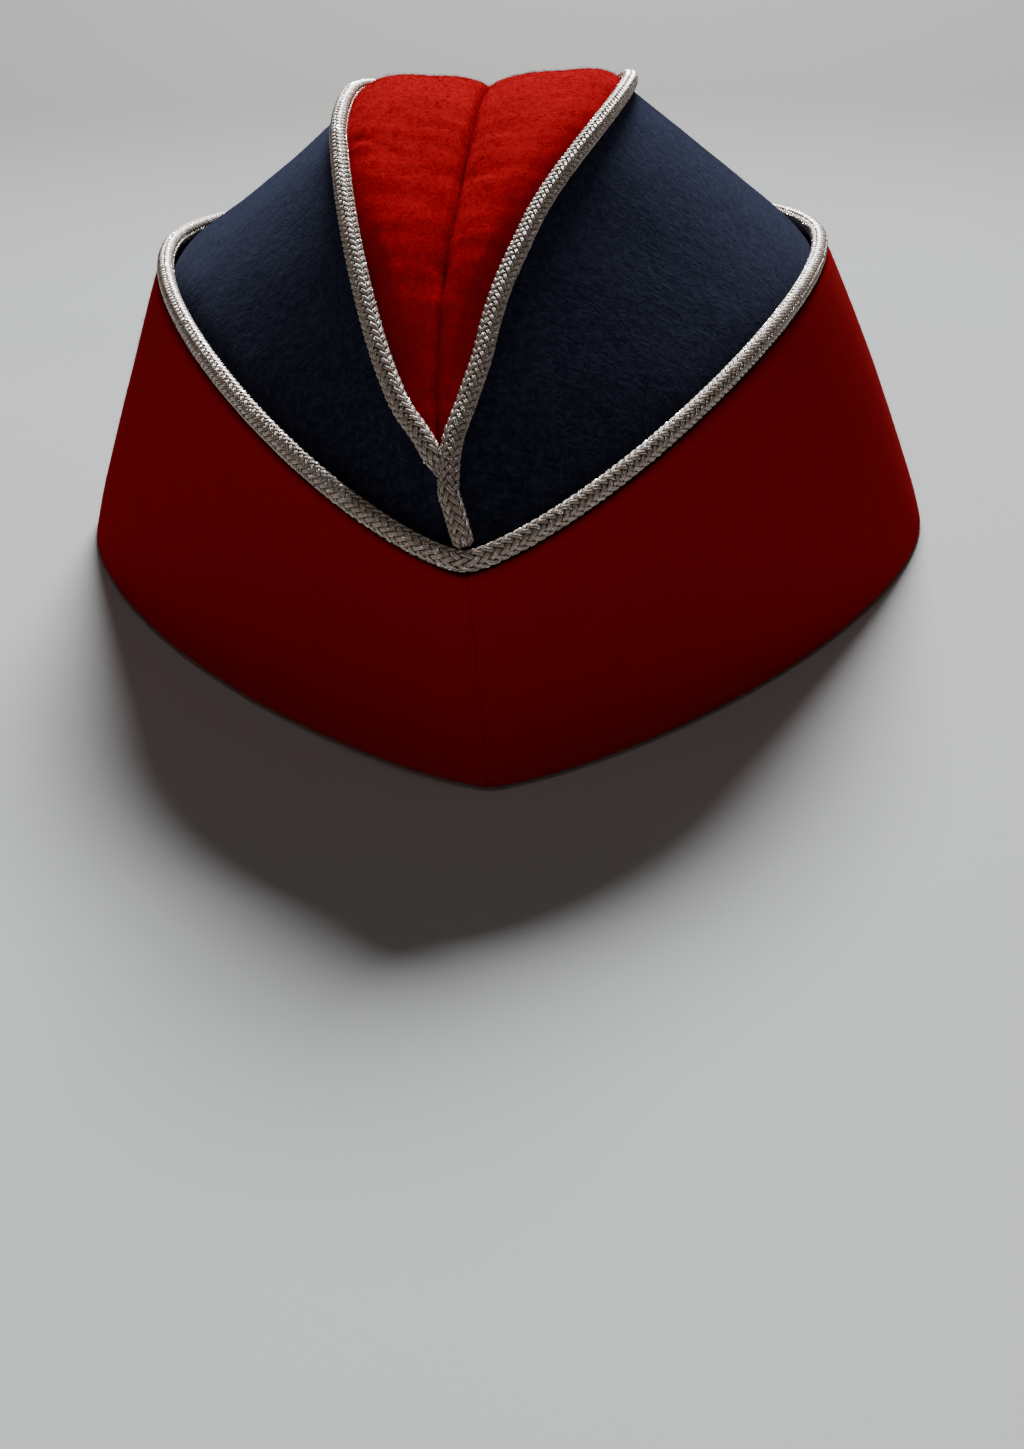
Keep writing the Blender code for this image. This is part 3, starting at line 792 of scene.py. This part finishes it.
def middle_line(node):
    """The centres of a tube's rings in order, and whether the tube is a closed loop."""
    shape = welded(node)
    bmesh.ops.join_triangles(
        shape, faces=shape.faces, angle_face_threshold=math.pi, angle_shape_threshold=math.pi)
    plain_corners = (corner for corner in shape.verts if len(corner.link_edges) == 4)
    tries = (ring_from(corner, edge) for corner in plain_corners for edge in corner.link_edges)
    start = next(ring for ring in tries if ring)
    both_ways = [neighbours(corner, start) for corner in start]
    ahead = both_ways[0][:1]
    for options in both_ways[1:]:
        ahead.append(next(v for v in options if ahead[-1] in neighbours(v)))
    behind = [next(v for v in options if v is not a) for options, a in zip(both_ways, ahead)]
    onward, closed = rings_onwards(ahead, start)
    rings = [ahead] + onward
    if not closed:
        rings = rings_onwards(behind, start)[0][::-1] + [behind, start] + rings
    centres = numpy.array([sum((v.co for v in ring), Vector()) / RING for ring in rings])
    shape.free()
    print(node, len(rings), "rings,", "closed" if closed else "open")
    return centres, closed


middle_lines = {node: middle_line(node) for node in (*CROWN_CORDS, "flap_piping")}

# %% [markdown]
# A smooth curve is laid through those centres, and at each of its points a braid needs two directions: out
# of the cap, and sideways. Blender's own curves twist as they like, so the directions are worked out from
# the cap's shape, and they come round to meet in a closed loop.

# %% A smooth line and its directions
CURVE_STEPS = 24


def smooth_line(points, closed, count):
    """Evenly spaced points on a smooth curve through the given ones, and its length."""
    if closed:
        padded = numpy.vstack([points[-1:], points, points[:2]])
    else:
        padded = numpy.vstack([2 * points[:1] - points[1:2], points, 2 * points[-1:] - points[-2:-1]])
    t = numpy.linspace(0, 1, CURVE_STEPS, endpoint=False)[:, None]
    pieces = []
    for a, b, c, d in zip(padded, padded[1:], padded[2:], padded[3:]):
        bend = (2 * a - 5 * b + 4 * c - d) * t ** 2 + (3 * b - 3 * c + d - a) * t ** 3
        pieces.append((2 * b + (c - a) * t + bend) / 2)
    fine = numpy.vstack(pieces + [padded[-2:-1]])
    run = numpy.concatenate([[0], numpy.cumsum(numpy.linalg.norm(numpy.diff(fine, axis=0), axis=1))])
    stops = numpy.linspace(0, run[-1], count)
    return numpy.stack([numpy.interp(stops, run, fine[:, axis]) for axis in range(3)], axis=1), run[-1]


def headings(line, closed):
    """The direction in which a line runs at each of its points."""
    if closed:
        return unit(numpy.vstack([line[1:], line[1:2]]) - numpy.vstack([line[-2:-1], line[:-1]]))
    return unit(numpy.gradient(line, axis=0))


def cord_axes(line, closed):
    """Directions at each point of a cord: out of the cap, and sideways."""
    along = headings(line, closed)
    out = from_spine(line)
    out = unit(out - dot(out, along) * along)
    return out, numpy.cross(along, out)


def with_tucked_ends(line, further, deeper):
    """An open cord's middle line, carried on past both ends and down into the seam."""
    added = []
    for end, before in ((line[0], line[1]), (line[-1], line[-2])):
        onward = unit(end - before)
        out = from_spine(end)
        out = unit(out - dot(out, onward) * onward)
        added.append([end + onward * further * step - out * deeper * step ** 2 for step in (0.5, 1.0)])
    return numpy.vstack([added[0][::-1], line, added[1]])


for node, (line, closed) in middle_lines.items():
    print(node, round(smooth_line(line, closed, 2)[1] / MM), "mm along its middle")

# %% [markdown]
# Eight strands wind one way and eight the other, each passing over two and under two, and each strand is a
# pair of yarns side by side. A strand could be a curve with a bevel, but then Blender chooses how its
# profile turns, and a flat strand has to lie flat on the cord all the way. So one long tube is made and cut
# into rings, and each ring is carried to its own place on the strand's winding path. The path's distance
# from the cord's middle depends only on how far round the cord it is, which is what makes the braid's
# straight ridges.

# %% Tubes for the strands
FULL_TURN = 2 * math.pi


def long_tube(corners, samples, closed):
    """A tube cut into rings, with the ring and the corner that each vertex belongs to."""
    shape = bmesh.new()
    bmesh.ops.create_cone(shape, cap_ends=not closed, segments=corners, radius1=1, radius2=1, depth=1)
    uprights = [e for e in shape.edges if abs(e.verts[0].co.z - e.verts[1].co.z) > 0.5]
    bmesh.ops.subdivide_edges(shape, edges=uprights, cuts=samples - 2, use_grid_fill=True)
    mesh = bpy.data.meshes.new("long_tube")
    shape.to_mesh(mesh)
    shape.free()
    places = numbers(mesh, "co")
    ring = numpy.rint((places[:, 2] + 0.5) * (samples - 1)).astype(int)
    turn = numpy.arctan2(places[:, 1], places[:, 0]) / (FULL_TURN / corners)
    return mesh, ring, numpy.rint(turn).astype(int) % corners


def add_swept(joined, tube, places, along, across, outness):
    """Carries a long tube to its places, one row of corners for each ring, and joins it to a piece."""
    mesh, ring, corner = tube
    mesh.vertices.foreach_set("co", places[ring, corner].reshape(-1))
    loop_vertex = numpy.empty(len(mesh.loops), dtype=numpy.int64)
    mesh.loops.foreach_get("vertex_index", loop_vertex)
    for name, first in (("lay", along[ring]), ("outness", outness[ring])):
        layer = mesh.uv_layers.get(name) or mesh.uv_layers.new(name=name)
        layer.data.foreach_set("uv", numpy.stack([first, across[corner]], axis=1)[loop_vertex].reshape(-1))
    joined.from_mesh(mesh)


def round_cord(out, side, angle):
    """The direction away from a cord's middle at each angle round it."""
    return out * numpy.cos(angle)[..., None] + side * numpy.sin(angle)[..., None]


# %% [markdown]
# The yarn is a thread wrapped in thin silvery foil. Most of it is dulled to a warm grey, and where the foil
# still lies flat it flashes, in short bright dashes along the yarns. Each dash is a small facet of bare
# metal, turned a little its own way, so that some catch a light and some don't. Painted white dashes would
# look chalky instead. The strand's own map places them: its first value runs along the strand in
# millimetres and its second goes across it.

# %% Where the foil flashes
DASH_LENGTH = 0.9
DASHES_ACROSS = 2.0
BRIGHT_EDGE = (0.50, 0.55)
DASH_EDGE = (0.5, 0.35)
CREST_EDGE = (-0.1, 0.4)
FACET_SPREAD = (0.3, 0.3, 0.2)
FACET_LEAST = (-0.12, -0.75, 0.70)

silver, tree, shader = new_material("silver_thread", Coat_Weight=0.25, Coat_Roughness=0.3)
run_along, run_across, _ = split(tree, add_node(tree, "ShaderNodeUVMap", uv_map="lay").outputs[0])
outness = split(tree, add_node(tree, "ShaderNodeUVMap", uv_map="outness").outputs[0])[0]
cell_along = maths(tree, "DIVIDE", run_along, DASH_LENGTH)
cell_across = maths(tree, "MULTIPLY", run_across, DASHES_ACROSS)
cell_place = add_node(tree, "ShaderNodeCombineXYZ", {"X": cell_along, "Y": cell_across}).outputs[0]
cell_pattern = {"Vector": cell_place, "Scale": 1.0, "Randomness": 0.8}
cells = add_node(tree, "ShaderNodeTexVoronoi", cell_pattern).outputs
cell_shine, cell_tone, _ = split(tree, cells["Color"])
bright_cell = ramp(tree, cell_shine, *BRIGHT_EDGE)
cell_middle = ramp(tree, cells["Distance"], *DASH_EDGE)
dash = maths(tree, "MULTIPLY", bright_cell, cell_middle)
flash = maths(tree, "MULTIPLY", dash, ramp(tree, outness, *CREST_EDGE))
yarn_way = add_node(tree, "ShaderNodeNewGeometry").outputs["Normal"]
facet_way = add_node(tree, "ShaderNodeVectorMath", {
    0: cells["Color"], 1: FACET_SPREAD, 2: FACET_LEAST}, operation="MULTIPLY_ADD").outputs["Vector"]
flash_way = add_node(tree, "ShaderNodeVectorMath", {
    0: mix(tree, flash, yarn_way, facet_way, "VECTOR")}, operation="NORMALIZE").outputs["Vector"]
print("dashes:", DASH_LENGTH, "mm long")

# %% [markdown]
# The rest of the finish is the foil's own: fine turns of wrapping, a crinkle and a patchy warm tarnish. The
# groove between two yarns is a relief, because grooves could be cut in the mesh, but they are finer than its
# faces. It is also painted darker, a painted shade. Deep in the braid, where a strand goes under and on the
# core, the thread is painted darker as well, a painted shade. A pair of values below says where a ramp
# starts and ends, and a row of four adds what it gives there.

# %% Silver thread
YARNS = 4
WRAP_ALONG = 16.0
WRAP_ACROSS = 9.0
WRAP_HEIGHT = 0.25
CRINKLE_SCALE = 2600.0
TARNISH_SCALE = 160.0
RELIEF = {"Strength": 0.6, "Distance": 0.12 * MM}
GLOSS = (0.46, 0.25)
METAL = (0.35, 1.0)
GROOVE_SHADE = (0.0, 0.6, 0.35, 1.0)
DEEP_DOWN_SHADE = (-0.6, 0.6, 0.22, 1.0)
FOIL_SHADES = ((0.42, 0.305, 0.235, 1), (0.84, 0.71, 0.61, 1))
PAINTED_SHADE_COLOUR = (0.085, 0.062, 0.049, 1)
BARE_METAL = (1.0, 1.0, 1.0, 1)

wrap_along = maths(tree, "MULTIPLY", run_along, WRAP_ALONG)
wrap_across = maths(tree, "MULTIPLY", run_across, WRAP_ACROSS)
wrap = maths(tree, "SINE", maths(tree, "ADD", wrap_along, wrap_across))
yarn = maths(tree, "ABSOLUTE", maths(tree, "SINE", maths(tree, "MULTIPLY", run_across, YARNS * math.pi)))
where = add_node(tree, "ShaderNodeTexCoord").outputs["Object"]
crinkle = add_node(tree, "ShaderNodeTexVoronoi", {"Vector": where, "Scale": CRINKLE_SCALE})
fine_relief = maths(tree, "ADD", yarn, crinkle.outputs["Distance"])
height = maths(tree, "ADD", maths(tree, "MULTIPLY", wrap, WRAP_HEIGHT), fine_relief)
relief = add_node(tree, "ShaderNodeBump", {"Height": height, "Normal": flash_way, **RELIEF}).outputs[0]
tarnish = cloudy(tree, where, TARNISH_SCALE, 3.0)
tone = maths(tree, "MULTIPLY", maths(tree, "ADD", tarnish, cell_tone), 0.5)
# Painted shade: the groove between yarns and the deep parts of the braid are mixed towards a dark colour.
unshaded_share = maths(tree, "MULTIPLY", ramp(tree, yarn, *GROOVE_SHADE), ramp(tree, outness, *DEEP_DOWN_SHADE))
foil_with_painted_shade = mix(tree, unshaded_share, PAINTED_SHADE_COLOUR, mix(tree, tone, *FOIL_SHADES))
tree.links.new(mix(tree, flash, foil_with_painted_shade, BARE_METAL), shader.inputs["Base Color"])
tree.links.new(ramp(tree, flash, 0.0, 1.0, *GLOSS), shader.inputs["Roughness"])
tree.links.new(ramp(tree, flash, 0.0, 1.0, *METAL), shader.inputs["Metallic"])
tree.links.new(relief, shader.inputs["Normal"])
print("silver thread:", len(tree.nodes), "nodes")

# %% [markdown]
# Now the strands are laid, with a plain core inside them that keeps light from showing through. Each strand
# is a little wider or thinner than the next, as hand-fed thread is. The flap's cord is one closed loop,
# sewn round the edge. The crown's cords are open: the left one tucks down beside the right one, which goes
# on as the stem.

# %% Laying the braid
STRANDS_EACH_WAY = 8
FIRST_STRAND = 0.25
TURN_LENGTH = 12.5 * MM
STEPS_PER_TURN = 16
FLOATS_ROUND = 4
FLOAT_STEEPNESS = 1.6
MIDDLE_RADIUS = 1.22 * MM
OVER_UNDER = 0.20 * MM
STRAND_PROFILE = numpy.array([(-1, -0.6), (-0.5, 1), (0, 0.2), (0.5, 1), (1, -0.6)]) * (0.395 * MM, 0.20 * MM)
WIDTH_SPREAD = (0.92, 1.06)
HEIGHT_SPREAD = (0.85, 1.15)
MAP_SHIFT = 50
END_WIDTH = 0.5
CORE_RADIUS = 1.08 * MM
CORE_CORNERS = 8
CORE_STEP = STEPS_PER_TURN // 8
LOOP_WELD = 0.0001 * MM


def braid(node, name, further, deeper, taper):
    """A braided cord in place of one CAD cord. An open one is carried on past its ends, narrowing there."""
    coarse, closed = middle_lines[node]
    if further:
        coarse = with_tucked_ends(coarse, further, deeper)
    length = smooth_line(coarse, closed, 2)[1]
    turns = round(length / TURN_LENGTH * FLOATS_ROUND) / FLOATS_ROUND
    if closed:
        turns = round(turns)
    samples = int(turns * STEPS_PER_TURN) + 1
    line, _ = smooth_line(coarse, closed, samples)
    out, side = cord_axes(line, closed)
    run = numpy.linspace(0, length, samples)
    turned = numpy.arange(samples) * FULL_TURN / STEPS_PER_TURN
    narrow = numpy.ones(samples)
    if not closed:
        from_end = numpy.minimum(run, length - run)
        narrow = numpy.clip(END_WIDTH + (1 - END_WIDTH) * from_end / taper, 0, 1)
    tube = long_tube(len(STRAND_PROFILE), samples, closed)
    joined = bmesh.new()
    across_share = numpy.linspace(0, 1, len(STRAND_PROFILE))
    sideways, outwards = STRAND_PROFILE.T
    dice = numpy.random.default_rng(len(name))
    for way in (1, -1):
        for strand in range(STRANDS_EACH_WAY):
            angle = (strand + FIRST_STRAND) * FULL_TURN / STRANDS_EACH_WAY + way * turned
            over = way * numpy.clip(FLOAT_STEEPNESS * numpy.sin(FLOATS_ROUND * angle), -1, 1)
            away = round_cord(out, side, angle)
            path = line + away * ((MIDDLE_RADIUS + OVER_UNDER * over) * narrow)[:, None]
            across = unit(numpy.cross(away, headings(path, closed)))
            width = dice.uniform(*WIDTH_SPREAD) * narrow
            height = dice.uniform(*HEIGHT_SPREAD) * narrow
            places = path[:, None, :] + across[:, None, :] * (sideways * width[:, None])[:, :, None]
            places = places + away[:, None, :] * (outwards * height[:, None])[:, :, None]
            # The strand's outness, how far out it lies, sets the painted shade where it goes under.
            add_swept(joined, tube, places, run / MM + dice.uniform(0, MAP_SHIFT), across_share, over)
    spokes = round_cord(out[:, None], side[:, None], numpy.arange(CORE_CORNERS) * FULL_TURN / CORE_CORNERS)
    places = (line[:, None, :] + spokes * (CORE_RADIUS * narrow)[:, None, None])[::CORE_STEP]
    core = long_tube(CORE_CORNERS, len(places), closed)
    # The core lies deepest, so it takes the full painted shade.
    deepest = numpy.full(len(places), -1.0)
    add_swept(joined, core, places, run[::CORE_STEP] / MM, numpy.full(CORE_CORNERS, 0.5), deepest)
    if closed:
        bmesh.ops.remove_doubles(joined, verts=joined.verts, dist=LOOP_WELD)
    bmesh.ops.recalc_face_normals(joined, faces=joined.faces)
    mesh = bpy.data.meshes.new(name)
    joined.to_mesh(mesh)
    joined.free()
    mesh.shade_smooth()
    print(name, round(length / MM), "mm,", turns, "turns")
    return place_piece(name, mesh, silver)


CORDS = {
    "crown_piping_left": ("crown_braid_left", 3.0 * MM, 1.8 * MM, 3.0 * MM),
    "crown_piping_right": ("crown_braid_right", 0.8 * MM, 0.1 * MM, 0.8 * MM),
    "flap_piping": ("flap_braid", 0.0, 0.0, 1 * MM),
}
cords = {node: braid(node, *settings) for node, settings in CORDS.items()}

# %% [markdown]
# Every piece now rides on the frame's one body and stands in for its solid, which is hidden. The nap has no
# solid of its own, so it only rides.

# %% Finish
for node, piece in cloth.items():
    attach(piece, "root")
    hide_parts(node)
for node, piece in nap_pieces.items():
    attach(piece, "root")
for node, piece in cords.items():
    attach(piece, "root")
    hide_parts(node)
